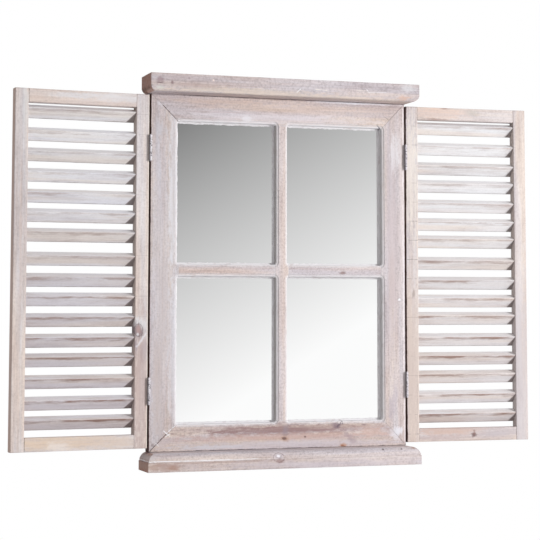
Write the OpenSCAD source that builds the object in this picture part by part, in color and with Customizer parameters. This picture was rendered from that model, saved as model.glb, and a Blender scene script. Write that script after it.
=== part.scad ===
// Shutter mirror: a whitewashed pine mirror made like a small window. A mitred frame with a
// routed cross of glazing bars stands in front of one sheet of mirror, between a cornice board
// and a sill board. Two louvred shutters hang on butt hinges at its sides and fold across it.
//
// The part hangs from two keyhole plates. Its origin is half-way between them, on the wall:
// +X to the right, +Y to the wall, +Z up. Each piece is first drawn in the frame's own place,
// with x from the middle, y from the frame's front face and z from the frame's lower edge.

/* [Frame] */
// Width of the frame over its stiles
frame_w = 530; // [480:5:600]
// Height of the frame over its rails
frame_h = 690; // [640:5:780]
// Depth of the frame, front face to wall
frame_d = 26; // [25.5:0.5:32]
// Width of a frame member, outer edge to sight edge
member_w = 54; // [48:1:64]
// How far the whole opening sits to the right of the frame's middle
opening_shift = 2.4; // [-5:0.2:5]

/* [Moulding] */
// Radius of the quarter-round along every pane
ovolo_r = 4; // [3:0.25:4.5]
// Width of the step beside the quarter-round
quirk_w = 0.75; // [0.5:0.05:1]
// Depth of that step below the front face
quirk_d = 1.2; // [0.8:0.1:1.6]
// Width of the flat ledge in front of the glass
ledge_w = 2.5; // [2:0.1:3]
// Depth of that ledge below the front face
ledge_d = 14; // [12:0.25:15]
// Radius that the router bit leaves in a pane's corners
corner_r = 5; // [3:0.25:6]

/* [Glazing bars] */
// Flat width on the front of a glazing bar
bar_face = 14; // [12:0.5:20]
// How far the middle of the cross lies above mid-height
cross_rise = 3; // [-20:1:20]
// Length of the stub tenon at a bar's end
bar_tenon = 10; // [6:1:14]
// Thickness of that tenon
bar_tenon_t = 7; // [5:0.5:8]
// Width of that tenon
bar_tenon_w = 10; // [7:0.5:12]

/* [Mirror and back] */
// Depth of the glass behind the front face
glass_front = 17; // [16:0.25:17.25]
// Thickness of the mirror glass
glass_t = 3; // [2.5:0.25:3.5]
// How far the glass runs behind the members, past the sight edge
glass_bite = 6; // [4:0.5:8]
// Thickness of the back board
board_t = 4; // [3:0.25:4.25]
// How far the back board reaches past the edge of the glass
board_lap = 9; // [8:0.5:10]

/* [Cornice and sill] */
// How far both boards stand out in front of the frame
board_out = 50; // [42:1:65]
// How far both boards run past the frame at each end
board_over = 13; // [10:1:22]
// Thickness of the cornice
cornice_h = 34; // [26:1:44]
// Radius along its lower edge
cornice_r = 12; // [8:1:14]
// Thickness of the sill
sill_h = 34; // [28:1:44]
// Radius along its upper edge
sill_r = 16; // [10:1:20]
// Small step where that radius meets the sill's front
sill_step = 1.2; // [0.8:0.1:2]

/* [Shutters] */
// Thickness of a shutter
shutter_d = 20; // [18:0.5:22]
// Width of a shutter's stiles
stile_w = 26; // [24:1:34]
// Height of its top and bottom rails
rail_h = 26; // [22:1:36]
// Gap between the closed shutters
meeting_gap = 1; // [1:0.5:4]
// Gap under the cornice
top_gap = 2.5; // [1.5:0.5:6]
// Gap above the sill
bottom_gap = 8; // [4:0.5:12]
// How much lower the right shutter hangs than the left one
right_drop = 2; // [0:0.5:3]
// Rounding of a shutter's long edges
arris_r = 1.5; // [0.8:0.1:2.5]
// Length of a rail's stub tenon
rail_tenon = 14; // [8:1:16]
// Thickness of that tenon
rail_tenon_t = 7; // [5:0.5:8]
// Shoulder left above and below that tenon
rail_shoulder = 4; // [3:0.5:6]
// Angle of the left shutter, forward of flat to the wall
left_rest = 4.5; // [0:0.5:90]
// Angle of the right shutter, forward of flat to the wall
right_rest = 2.5; // [0:0.5:90]

/* [Louvres] */
// Number of slats in a shutter
slats = 16; // [12:1:16]
// Nose of the highest slat below the top rail
first_nose = 13.6; // [12:0.2:18]
// Nose of the lowest slat above the bottom rail
last_nose = 28.8; // [24:0.2:34]
// Radius of a slat's nose
nose_r = 1.5; // [1:0.1:2]
// How far the nose stands back from the shutter's face
nose_set = 2; // [1.5:0.25:4]
// How far a slat's back stands in from the shutter's back
back_set = 0.5; // [0.25:0.25:1.5]
// Slope of a slat's upper facet
upper_slope = 21; // [16:0.5:26]
// Slope of its lower facet
lower_slope = 45; // [38:0.5:47]
// Depth of the housing in each stile
housing = 5.5; // [4:0.5:7]
// Step in which the hand-cut housings stray from their even places
stray = 0.5; // [0:0.05:0.6]

/* [Hinges] */
// Length of a butt hinge
hinge_l = 50; // [40:1:60]
// Gap between a frame stile and its shutter
hinge_gap = 3; // [2.8:0.2:6]
// Radius of the barrel
barrel_r = 3.25; // [2.75:0.05:3.75]
// Radius of the pin
pin_r = 1.5; // [1.2:0.05:1.7]
// Radius of the pin's heads
pin_head_r = 2.2; // [2:0.05:2.6]
// Thickness of those heads
pin_head_h = 1; // [0.6:0.1:1.4]
// Thickness of a leaf
leaf_t = 1.2; // [1:0.05:1.4]
// Depth that a leaf covers behind the front face
leaf_d = 15; // [12:0.5:17]
// Middle of the upper left hinge below the frame's top
left_hinge_down = 106.5; // [100:0.5:150]
// Middle of the lower left hinge above the frame's bottom
left_hinge_up = 116; // [60:0.5:150]
// Middle of the upper right hinge below the frame's top
right_hinge_down = 109.5; // [100:0.5:150]
// Middle of the lower right hinge above the frame's bottom
right_hinge_up = 121; // [60:0.5:150]

/* [Hangers] */
// Middle of a keyhole in from the frame's outer edge
keyhole_in = 19; // [17:0.5:21]
// Keyholes below the top of the frame
hanger_down = 60; // [56:1:64]
// Radius of a keyhole's round end
keyhole_r = 4.5; // [4:0.25:5]
// Width of its slot
keyhole_slot = 4.5; // [3.5:0.25:4.5]
// Length of its slot, centre to centre
keyhole_rise = 9; // [8:0.5:11]
// Width of a hanger plate
plate_w = 16; // [15:0.5:18]
// Height of a hanger plate
plate_h = 46; // [44:1:52]
// Thickness of a hanger plate
plate_t = 1.5; // [1.2:0.1:2]
// Depth of the pocket behind a keyhole
pocket_d = 9; // [7:0.5:10]

/* [Screws] */
// Radius of a screw's countersunk head
head_r = 2.8; // [2.4:0.1:3]
// Radius of a screw's shank
shank_r = 1.3; // [1.1:0.05:1.5]
// Length of a screw
screw_l = 12; // [10:0.5:13]
// Distance of a hinge's outer screws from its middle
hinge_screw_step = 16; // [13:0.5:18]
// Distance of a hanger plate's screws from its middle
plate_screw_step = 17; // [16.5:0.5:18]

/* [Fits] */
// Clearance round a tenon in its mortise
tenon_fit = 0.15; // [0.05:0.05:0.3]
// Clearance round a hanger plate in its recess
plate_fit = 0.1; // [0.05:0.05:0.3]
// Clearance round a slat in its housing
slat_fit = 0.15; // [0.05:0.05:0.3]
// Clearance round the glass and the back board in their rebates
sheet_fit = 1; // [0.5:0.25:2]
// Gap between the glass and the wood or board behind and before it
glass_gap = 0.2; // [0.1:0.05:0.5]
// Radial clearance round a hinge pin
pin_fit = 0.05; // [0.02:0.01:0.1]
// Gap between two knuckles
knuckle_gap = 0.3; // [0.2:0.05:0.5]
// Gap between a barrel and the faces behind it
barrel_gap = 0.35; // [0.3:0.05:0.6]
// Radial clearance round a screw
screw_fit = 0.05; // [0.02:0.01:0.1]

/* [Hidden] */
$fn = 64;

// Overshoot of cuts, and of solids that grow into the body that carries them
eps = 1;

// Frame, panes and cross
sight_x = frame_w / 2 - member_w;
mould_w = quirk_w + ovolo_r + ledge_w;
bar_half = bar_face / 2 + mould_w;
bar_back = glass_front - glass_gap;
cross_z = frame_h / 2 + cross_rise;
tenon_front = (bar_back - bar_tenon_t) / 2;
lap_y = bar_back / 2;
pane_x = [bar_half, sight_x];
low_pane_z = [member_w, cross_z - bar_half];
high_pane_z = [cross_z + bar_half, frame_h - member_w];

// Rebates, counted outwards from the sight edge
board_bite = glass_bite + board_lap;
board_front = glass_front + glass_t + glass_gap;
board_screw_past = glass_bite + sheet_fit + (board_lap - sheet_fit) / 2;

// Shutter, drawn for the left side, flat to the wall
shutter_w = (frame_w - meeting_gap) / 2;
shutter_z = [bottom_gap, frame_h - top_gap];
opening_z = [shutter_z[0] + rail_h, shutter_z[1] - rail_h];
opening_w = shutter_w - 2 * stile_w;
hinge_edge = frame_w / 2 + hinge_gap;
pitch = (opening_z[1] - opening_z[0] - first_nose - last_nose) / (slats - 1);
nose_y = nose_set + nose_r;
nose_steps = 6;

// Steps by which each slat sits above its even place, from the top one down
left_strays = [6, -2, -1, -1, -2, 3, 7, -5, -7, -2, -2, -1, 4, 1, -1, 4];
right_strays = [5, -1, -4, 1, -2, 0, 7, -3, -6, -1, 6, -3, -1, 3, 0, 0];
slats_listed = len(left_strays);

// Hinges
axis_x = frame_w / 2 + hinge_gap / 2;
axis_y = -barrel_r - barrel_gap;
left_hinge_z = [left_hinge_up, frame_h - left_hinge_down];
right_hinge_z = [right_hinge_up, frame_h - right_hinge_down];
knuckles = 5;
knuckle_l = (hinge_l - (knuckles - 1) * knuckle_gap) / knuckles;
leaf_front = 0.1;
leaf_mid = (leaf_front + leaf_d) / 2;

// Hangers
hanger_z = frame_h - hanger_down;
keyhole_x = frame_w / 2 - keyhole_in;
plate_z = hanger_z + keyhole_rise / 2;
pocket_r = keyhole_r + 1.5;

// Screws
sink_h = head_r - shank_r;

// Finishes
wash = [0.82, 0.78, 0.77];
wash_shade = [0.78, 0.74, 0.73];
wash_light = [0.90, 0.88, 0.86];
steel = [0.62, 0.60, 0.62];

function two_digits(i) = str(i < 10 ? "0" : "", i);
function strays(side) = side == "left" ? left_strays : right_strays;
function nose_z(side, i) =
    opening_z[1] - first_nose - i * pitch + stray * strays(side)[i % slats_listed];

ROOT_NODES = [
    "frame_left_stile", "frame_right_stile", "frame_top_rail", "frame_bottom_rail",
    "vertical_bar", "horizontal_bar", "cornice", "sill", "mirror_glass", "back_board",
    "hanger_plates", "back_screws", "frame_hinge_screws",
    "left_hinge_frame_leaves", "right_hinge_frame_leaves", "hinge_pins"
];
SHUTTER_NODES = [
    "outer_stile", "hinge_stile", "top_rail", "bottom_rail",
    "hinge_shutter_leaves", "hinge_screws"
];

// ---- places -------------------------------------------------------------------------------

// From the frame's own place to the place on the wall
module on_wall() {
    translate([0, -frame_d, -hanger_z])
        children();
}

// A left-hand piece, or its mirror image on the right
module on_side(side) {
    if (side == "left")
        children();
    else
        mirror([1, 0, 0])
            children();
}

// Cuts and pieces that belong to the opening, drawn about its own middle
module in_opening(side = "left") {
    translate([side == "left" ? opening_shift : -opening_shift, 0, 0])
        children();
}

// What moves with a shutter, swung forward from flat about the hinge axis
module swung(side) {
    angle = side == "left" ? left_rest : right_rest;
    on_side(side)
        translate([-axis_x, axis_y, 0])
            rotate([0, 0, angle])
                translate([axis_x, -axis_y, 0])
                    children();
}

// The wood of a shutter, at the height it hangs at
module hung(side) {
    swung(side)
        translate([0, 0, side == "left" ? 0 : -right_drop])
            children();
}

// An outline in x and z, extruded from depth y0 to depth y1
module depth_extrude(y0, y1) {
    translate([0, y1, 0])
        rotate([90, 0, 0])
            linear_extrude(y1 - y0)
                children();
}

// An outline in y and z, extruded from x0 to x1
module side_extrude(x0, x1) {
    translate([x0, 0, 0])
        rotate([90, 0, 90])
            linear_extrude(x1 - x0)
                children();
}

// ---- screws -------------------------------------------------------------------------------

// Countersunk screw, its head's face at z = 0 and its tip below
module screw() {
    union() {
        translate([0, 0, -sink_h])
            cylinder(r1 = shank_r, r2 = head_r, h = sink_h);
        translate([0, 0, -screw_l])
            cylinder(r = shank_r, h = screw_l - sink_h);
    }
}

// The hole that takes it
module screw_hole() {
    r = head_r + screw_fit;
    bore_r = shank_r + screw_fit;
    translate([0, 0, -sink_h])
        cylinder(r1 = bore_r, r2 = r, h = sink_h);
    translate([0, 0, -screw_l - screw_fit])
        cylinder(r = bore_r, h = screw_l);
    cylinder(r = r, h = eps);
}

// ---- frame --------------------------------------------------------------------------------

// Section of the router's cut along a pane, from a corner's centre outwards
module pane_section() {
    union() {
        translate([0, -eps])
            square([corner_r + ovolo_r + quirk_w, eps + quirk_d]);
        difference() {
            translate([0, -eps])
                square([corner_r + ovolo_r, eps + quirk_d + ovolo_r]);
            translate([corner_r + ovolo_r, quirk_d + ovolo_r])
                circle(ovolo_r);
        }
        translate([0, -eps])
            square([corner_r, eps + ledge_d]);
    }
}

// The same section at both sides of a span between two corner centres
module pane_span_section(span) {
    union() {
        for (u = [0, 1])
            mirror([u, 0])
                translate([span / 2, 0])
                    pane_section();
        translate([-(span + corner_r) / 2, -eps])
            square([span + corner_r, eps + ledge_d]);
    }
}

// Everything that the router takes out round one pane
module pane_cut(xs, zs) {
    inset = corner_r - ledge_w;
    span_x = xs[1] - xs[0] - 2 * inset;
    span_z = zs[1] - zs[0] - 2 * inset;
    translate([(xs[0] + xs[1]) / 2, 0, (zs[0] + zs[1]) / 2]) {
        for (u = [-1, 1], v = [-1, 1])
            translate([u * span_x / 2, 0, v * span_z / 2])
                rotate([-90, 0, 0])
                    rotate_extrude()
                        pane_section();
        translate([0, 0, -span_z / 2])
            linear_extrude(span_z)
                pane_span_section(span_x);
        translate([-span_x / 2, 0, 0])
            rotate([0, 90, 0])
                linear_extrude(span_x)
                    pane_span_section(span_z);
    }
}

// The cuts of the two panes beside a stile, and of the two panes beside a rail
module column_cuts() {
    for (zs = [low_pane_z, high_pane_z])
        pane_cut([-pane_x[1], -pane_x[0]], zs);
}

module row_cuts(zs) {
    for (u = [0, 1])
        mirror([u, 0, 0])
            pane_cut(pane_x, zs);
}

// A rebate at the back that runs past the sight edge
module rebate_cut(past, y0) {
    translate([-sight_x - past, y0, member_w - past])
        cube([2 * (sight_x + past), frame_d - y0 + eps, frame_h - 2 * (member_w - past)]);
}

module rebate_cuts() {
    rebate_cut(glass_bite + sheet_fit, glass_front);
    rebate_cut(board_bite + sheet_fit, board_front);
}

// Stub tenon of a glazing bar, pointing along +x from its shoulder, or its mortise
module bar_stub(grow) {
    translate([-eps, tenon_front - grow, -bar_tenon_w / 2 - grow])
        cube([eps + bar_tenon + grow, bar_tenon_t + 2 * grow, bar_tenon_w + 2 * grow]);
}

module cross_bar_stubs(grow = 0) {
    for (u = [0, 1])
        mirror([u, 0, 0])
            translate([sight_x, 0, cross_z])
                bar_stub(grow);
}

module upright_bar_stubs(grow = 0) {
    translate([0, 0, frame_h - member_w])
        rotate([0, -90, 0])
            bar_stub(grow);
    translate([0, 0, member_w])
        rotate([0, 90, 0])
            bar_stub(grow);
}

// Places of the screws through the back board, two on each side
module at_board_screws() {
    middle_x = (pane_x[0] + pane_x[1]) / 2;
    low_z = (low_pane_z[0] + low_pane_z[1]) / 2;
    high_z = (high_pane_z[0] + high_pane_z[1]) / 2;
    side_x = sight_x + board_screw_past;
    end_z = member_w - board_screw_past;
    places = [[side_x, low_z], [side_x, high_z], [middle_x, end_z], [middle_x, frame_h - end_z]];
    for (u = [-1, 1], place = places)
        translate([u * place[0], board_front + board_t, place[1]])
            rotate([-90, 0, 0])
                children();
}

// Places of the screws through the hanger plates
module at_plate_screws() {
    for (u = [-1, 1], v = [-1, 1])
        translate([u * keyhole_x, frame_d, plate_z + v * plate_screw_step])
            rotate([-90, 0, 0])
                children();
}

// Recess for a hanger plate, and the pocket behind its keyhole, in the left stile
module hanger_cut() {
    translate([-keyhole_x, 0, 0]) {
        translate([-plate_w / 2 - plate_fit, frame_d - plate_t, plate_z - plate_h / 2 - plate_fit])
            cube([plate_w + 2 * plate_fit, plate_t + eps, plate_h + 2 * plate_fit]);
        depth_extrude(frame_d - plate_t - pocket_d, frame_d)
            union() {
                for (z = [hanger_z, hanger_z + keyhole_rise])
                    translate([0, z])
                        circle(pocket_r);
                translate([-pocket_r, hanger_z])
                    square([2 * pocket_r, keyhole_rise]);
            }
    }
}

// A stile of the frame, drawn on the left
module stile_of_frame(side) {
    edge_x = -sight_x + (side == "left" ? opening_shift : -opening_shift);
    difference() {
        depth_extrude(0, frame_d)
            polygon([
                [-frame_w / 2, 0],
                [edge_x, member_w],
                [edge_x, frame_h - member_w],
                [-frame_w / 2, frame_h]
            ]);
        in_opening(side) {
            column_cuts();
            rebate_cuts();
            cross_bar_stubs(tenon_fit);
            at_board_screws()
                screw_hole();
        }
        hanger_cut();
        at_plate_screws()
            screw_hole();
        at_hinges(side)
            at_leaf_screws()
                screw_hole();
    }
}

module frame_stile(side) {
    color(wash)
        on_wall()
            on_side(side)
                stile_of_frame(side);
}

// Blank of a rail, with its outer edge at z = 0
module rail_blank() {
    depth_extrude(0, frame_d)
        polygon([
            [-frame_w / 2, 0],
            [frame_w / 2, 0],
            [sight_x + opening_shift, member_w],
            [-sight_x + opening_shift, member_w]
        ]);
}

module rail_cuts(zs) {
    in_opening() {
        row_cuts(zs);
        rebate_cuts();
        upright_bar_stubs(tenon_fit);
        at_board_screws()
            screw_hole();
    }
}

module frame_top_rail() {
    color(wash)
        on_wall()
            difference() {
                translate([0, 0, frame_h])
                    mirror([0, 0, 1])
                        rail_blank();
                rail_cuts(high_pane_z);
            }
}

module frame_bottom_rail() {
    color(wash)
        on_wall()
            difference() {
                rail_blank();
                rail_cuts(low_pane_z);
            }
}

// The upright bar runs through in front at the cross, and the horizontal bar behind it
module vertical_bar() {
    color(wash)
        on_wall()
            in_opening()
                union() {
                    difference() {
                        translate([-bar_half, 0, member_w])
                            cube([2 * bar_half, bar_back, frame_h - 2 * member_w]);
                        translate([-bar_half - eps, lap_y, cross_z - bar_half])
                            cube([2 * (bar_half + eps), bar_back, 2 * bar_half]);
                        row_cuts(low_pane_z);
                        row_cuts(high_pane_z);
                    }
                    upright_bar_stubs();
                }
}

module horizontal_bar() {
    color(wash)
        on_wall()
            in_opening()
                union() {
                    difference() {
                        translate([-sight_x, 0, cross_z - bar_half])
                            cube([2 * sight_x, bar_back, 2 * bar_half]);
                        translate([-bar_half, -eps, cross_z - bar_half - eps])
                            cube([2 * bar_half, lap_y + eps, 2 * (bar_half + eps)]);
                        row_cuts(low_pane_z);
                        row_cuts(high_pane_z);
                    }
                    cross_bar_stubs();
                }
}

// ---- cornice and sill ---------------------------------------------------------------------

// A board's edge in section, its lower corner rounded behind a small step
module nosed_edge(l, h, r, step) {
    union() {
        translate([0, r])
            square([l, h - r]);
        translate([step + r, 0])
            square([l - step - r, h]);
        translate([step + r, r])
            circle(r);
    }
}

// A board with that edge along its front and returned on both ends, lower face at z = 0
module nosed_board(h, r, step) {
    half_l = frame_w / 2 + board_over;
    intersection() {
        side_extrude(-half_l, half_l)
            translate([-board_out, 0])
                nosed_edge(board_out + frame_d, h, r, step);
        depth_extrude(-board_out, frame_d)
            union() {
                for (u = [0, 1])
                    mirror([u, 0])
                        translate([-half_l, 0])
                            nosed_edge(half_l + eps, h, r, step);
            }
    }
}

module cornice() {
    color(wash)
        on_wall()
            translate([0, 0, frame_h])
                nosed_board(cornice_h, cornice_r, 0);
}

module sill() {
    color(wash)
        on_wall()
            mirror([0, 0, 1])
                nosed_board(sill_h, sill_r, sill_step);
}

// ---- mirror, back and hangers -------------------------------------------------------------

// A sheet behind the opening that runs past the sight edge
module sheet(past, y0, t) {
    translate([-sight_x - past, y0, member_w - past])
        cube([2 * (sight_x + past), t, frame_h - 2 * (member_w - past)]);
}

module mirror_glass() {
    color("lightsteelblue")
        on_wall()
            in_opening()
                sheet(glass_bite, glass_front, glass_t);
}

module back_board() {
    color("burlywood")
        on_wall()
            in_opening()
                difference() {
                    sheet(board_bite, board_front, board_t);
                    at_board_screws()
                        screw_hole();
                }
}

// Keyhole outline: round below, where the screw's head goes in, with a slot above it
module keyhole() {
    union() {
        translate([0, hanger_z])
            circle(keyhole_r);
        translate([-keyhole_slot / 2, hanger_z])
            square([keyhole_slot, keyhole_rise]);
        translate([0, hanger_z + keyhole_rise])
            circle(keyhole_slot / 2);
    }
}

module hanger_plates() {
    color(steel)
        on_wall()
            difference() {
                for (u = [-1, 1])
                    translate([u * keyhole_x, 0, 0])
                        difference() {
                            translate([-plate_w / 2, frame_d - plate_t, plate_z - plate_h / 2])
                                cube([plate_w, plate_t, plate_h]);
                            depth_extrude(frame_d - plate_t - eps, frame_d + eps)
                                keyhole();
                        }
                at_plate_screws()
                    screw_hole();
            }
}

module back_screws() {
    color(steel)
        on_wall() {
            in_opening()
                at_board_screws()
                    screw();
            at_plate_screws()
                screw();
        }
}

// ---- hinges -------------------------------------------------------------------------------

// Places of a side's hinges, drawn on the left, origin on the pin's axis at mid-length
module at_hinges(side) {
    for (z = side == "left" ? left_hinge_z : right_hinge_z)
        translate([-axis_x, axis_y, z])
            children();
}

// Places of the screws in the leaf that lies on the frame's side of the axis
module at_leaf_screws() {
    for (v = [-1, 0, 1])
        translate([hinge_gap / 2 - leaf_t, leaf_mid - axis_y, v * hinge_screw_step])
            rotate([0, -90, 0])
                children();
}

// A leaf on the frame's side of the axis, with its knuckles, counted from the lowest
module leaf(own) {
    plate_x = hinge_gap / 2 - leaf_t;
    difference() {
        union() {
            translate([plate_x, leaf_front - axis_y, -hinge_l / 2])
                cube([leaf_t, leaf_d - leaf_front, hinge_l]);
            for (k = own)
                translate([0, 0, -hinge_l / 2 + k * (knuckle_l + knuckle_gap)]) {
                    cylinder(r = barrel_r, h = knuckle_l);
                    translate([plate_x, 0, 0])
                        cube([leaf_t, leaf_mid - axis_y, knuckle_l]);
                }
        }
        translate([0, 0, -hinge_l / 2 - eps])
            cylinder(r = pin_r + pin_fit, h = hinge_l + 2 * eps);
        at_leaf_screws()
            screw_hole();
    }
}

module hinge_frame_leaves(side) {
    color(steel)
        on_wall()
            on_side(side)
                at_hinges(side)
                    leaf([0 : 2 : knuckles - 1]);
}

module hinge_shutter_leaves(side) {
    color(steel)
        on_wall()
            swung(side)
                at_hinges(side)
                    mirror([1, 0, 0])
                        leaf([1 : 2 : knuckles - 1]);
}

module frame_hinge_screws() {
    color(steel)
        on_wall()
            for (side = ["left", "right"])
                on_side(side)
                    at_hinges(side)
                        at_leaf_screws()
                            screw();
}

module hinge_screws(side) {
    color(steel)
        on_wall()
            swung(side)
                at_hinges(side)
                    mirror([1, 0, 0])
                        at_leaf_screws()
                            screw();
}

module hinge_pins() {
    color(steel)
        on_wall()
            for (side = ["left", "right"])
                on_side(side)
                    at_hinges(side)
                        union() {
                            translate([0, 0, -hinge_l / 2 - pin_head_h])
                                cylinder(r = pin_r, h = hinge_l + 2 * pin_head_h);
                            for (v = [0, 1])
                                mirror([0, 0, v])
                                    translate([0, 0, hinge_l / 2])
                                        cylinder(r = pin_head_r, h = pin_head_h);
                        }
}

// ---- shutters -----------------------------------------------------------------------------

// A rectangle with rounded corners
module eased(w, h, r) {
    union() {
        translate([r, 0])
            square([w - 2 * r, h]);
        translate([0, r])
            square([w, h - 2 * r]);
        for (x = [r, w - r], y = [r, h - r])
            translate([x, y])
                circle(r);
    }
}

// Section of a slat from its nose to depth back, and of its housing, which is larger by grow
module slat_section(grow, back) {
    r = nose_r + grow;
    run = back - nose_y;
    nose_from = 90 + upper_slope;
    nose_to = 270 - lower_slope;
    nose_arc = [
        for (i = [0 : nose_steps])
            let (a = nose_from + (nose_to - nose_from) * i / nose_steps)
                [r * cos(a), r * sin(a)]
    ];
    translate([nose_y, 0])
        polygon(concat(nose_arc, [
            [run, -r / cos(lower_slope) - run * tan(lower_slope)],
            [run, r / cos(upper_slope) + run * tan(upper_slope)]
        ]));
}

// Stub tenon at a rail's end, pointing along +x from its shoulder, or its mortise
module rail_stub(grow) {
    translate([-eps, (shutter_d - rail_tenon_t) / 2 - grow, rail_shoulder - grow])
        cube([
            eps + rail_tenon + grow,
            rail_tenon_t + 2 * grow,
            rail_h - 2 * rail_shoulder + 2 * grow
        ]);
}

// A stile with its long outer edge at x = 0, square where the rails butt against it
module stile_blank() {
    opening_h = opening_z[1] - opening_z[0];
    union() {
        for (z = [shutter_z[0], opening_z[1]])
            translate([0, 0, z])
                linear_extrude(rail_h)
                    union() {
                        eased(stile_w, shutter_d, arris_r);
                        translate([stile_w / 2, 0])
                            square([stile_w / 2, shutter_d]);
                    }
        translate([0, 0, opening_z[0]])
            linear_extrude(opening_h)
                eased(stile_w, shutter_d, arris_r);
    }
}

module stile_of_shutter(side) {
    difference() {
        stile_blank();
        for (i = [0 : slats - 1])
            translate([0, 0, nose_z(side, i)])
                side_extrude(stile_w - housing, stile_w + eps)
                    slat_section(slat_fit, shutter_d + eps);
        for (z = [shutter_z[0], opening_z[1]])
            translate([stile_w, 0, z])
                mirror([1, 0, 0])
                    rail_stub(tenon_fit);
    }
}

module outer_stile(side) {
    color(side == "left" ? wash_shade : wash_light)
        on_wall()
            hung(side)
                translate([-hinge_edge - shutter_w, 0, 0])
                    stile_of_shutter(side);
}

module hinge_stile(side) {
    color(side == "left" ? wash_shade : wash_light)
        on_wall()
            difference() {
                hung(side)
                    translate([-hinge_edge, 0, 0])
                        mirror([1, 0, 0])
                            stile_of_shutter(side);
                swung(side)
                    at_hinges(side)
                        mirror([1, 0, 0])
                            at_leaf_screws()
                                screw_hole();
            }
}

module shutter_rail(side, z) {
    color(side == "left" ? wash_shade : wash_light)
        on_wall()
            hung(side)
                translate([-hinge_edge - shutter_w / 2, 0, z])
                    union() {
                        side_extrude(-opening_w / 2, opening_w / 2)
                            eased(shutter_d, rail_h, arris_r);
                        for (u = [0, 1])
                            mirror([u, 0, 0])
                                translate([opening_w / 2, 0, 0])
                                    rail_stub(0);
                    }
}

module slat(side, i) {
    half_l = opening_w / 2 + housing - slat_fit;
    color(side == "left" ? wash_shade : wash_light)
        on_wall()
            hung(side)
                translate([-hinge_edge - shutter_w / 2, 0, nose_z(side, i - 1)])
                    side_extrude(-half_l, half_l)
                        slat_section(0, shutter_d - back_set);
}

// ---- all pieces ---------------------------------------------------------------------------

frame_stile("left");  // frame_left_stile
frame_stile("right");  // frame_right_stile
frame_top_rail();
frame_bottom_rail();
vertical_bar();
horizontal_bar();
cornice();
sill();
mirror_glass();
back_board();
hanger_plates();
back_screws();
frame_hinge_screws();
hinge_frame_leaves("left");  // left_hinge_frame_leaves
hinge_frame_leaves("right");  // right_hinge_frame_leaves
hinge_pins();
for (side = ["left", "right"]) {
    outer_stile(side);
    hinge_stile(side);
    shutter_rail(side, opening_z[1]);
    shutter_rail(side, shutter_z[0]);
    hinge_shutter_leaves(side);
    hinge_screws(side);
    for (i = [1 : slats])
        slat(side, i);
}
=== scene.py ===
import math

import bmesh
import bpy
from mathutils import Matrix, Vector, noise


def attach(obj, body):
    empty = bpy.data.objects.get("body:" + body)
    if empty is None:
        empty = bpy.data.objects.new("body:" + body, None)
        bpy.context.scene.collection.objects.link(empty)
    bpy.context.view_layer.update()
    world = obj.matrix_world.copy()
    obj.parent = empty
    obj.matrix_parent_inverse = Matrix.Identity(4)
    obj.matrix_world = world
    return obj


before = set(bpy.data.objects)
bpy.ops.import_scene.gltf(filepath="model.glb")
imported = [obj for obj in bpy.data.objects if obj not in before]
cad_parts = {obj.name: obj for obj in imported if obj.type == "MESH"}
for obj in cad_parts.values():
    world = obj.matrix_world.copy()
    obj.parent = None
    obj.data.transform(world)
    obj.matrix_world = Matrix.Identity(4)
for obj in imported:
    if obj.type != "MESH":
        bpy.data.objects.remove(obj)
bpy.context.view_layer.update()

# ---- frame ---------------------------------------------------------------------------------
# Four pine members, 54 mm wide and 26 mm deep, mitred at the corners and routed with a
# quarter-round along the panes. They were brushed with thin whitewash and wiped, so the
# grain shows through, the arrises are worn and the open mitres are dark.


def paint(red, green, blue):
    """A colour as a colour chart gives it, for a shader's socket."""
    chart = (red / 255, green / 255, blue / 255)
    return tuple(c / 12.92 if c < 0.04045 else ((c + 0.055) / 1.055) ** 2.4 for c in chart) + (1,)


def new_finish(name):
    """An empty material with its shader."""
    material = bpy.data.materials.new(name)
    material.use_nodes = True
    return material, material.node_tree.nodes["Principled BSDF"]


def lay(material, kind, sockets, **settings):
    """One shader node, with its settings, and with values or other nodes' sockets plugged in."""
    tree = material.node_tree
    made = tree.nodes.new("ShaderNode" + kind)
    for setting, value in settings.items():
        setattr(made, setting, value)
    for socket, value in sockets.items():
        if isinstance(value, bpy.types.NodeSocket):
            tree.links.new(value, made.inputs[socket])
        else:
            made.inputs[socket].default_value = value
    return made


def reckon(material, operation, *values):
    """One sum with numbers."""
    return lay(material, "Math", dict(enumerate(values)), operation=operation).outputs[0]


def times(material, first, *others):
    for other in others:
        first = reckon(material, "MULTIPLY", first, other)
    return first


def plus(material, first, *others):
    for other in others:
        first = reckon(material, "ADD", first, other)
    return first


def less(material, whole, part):
    return reckon(material, "SUBTRACT", whole, part)


def size_of(material, value):
    """The value without its sign."""
    return reckon(material, "ABSOLUTE", value)


def between(material, value, low, high):
    """1 where the value lies between low and high, and 0 elsewhere."""
    above = reckon(material, "GREATER_THAN", value, low)
    return times(material, above, reckon(material, "LESS_THAN", value, high))


def steer(material, operation, *values):
    """One sum with places. A length or a dot product comes out as a number."""
    made = lay(material, "VectorMath", dict(enumerate(values)), operation=operation)
    return made.outputs["Value" if operation in ("LENGTH", "DOT_PRODUCT") else "Vector"]


def split(material, place):
    """The x, y and z of a place."""
    return lay(material, "SeparateXYZ", {0: place}).outputs[:]


def fade(material, value, low, high, to_low=0.0, to_high=1.0):
    """Runs smoothly from to_low to to_high while value goes from low to high."""
    sockets = {0: value, 1: low, 2: high, 3: to_low, 4: to_high}
    return lay(material, "MapRange", sockets, interpolation_type="SMOOTHSTEP").outputs[0]


def blend(material, share, under, over, way="MIX"):
    """The colour over on top of the colour under."""
    sockets = {0: share, 6: under, 7: over}
    return lay(material, "Mix", sockets, data_type="RGBA", blend_type=way).outputs[2]


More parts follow.
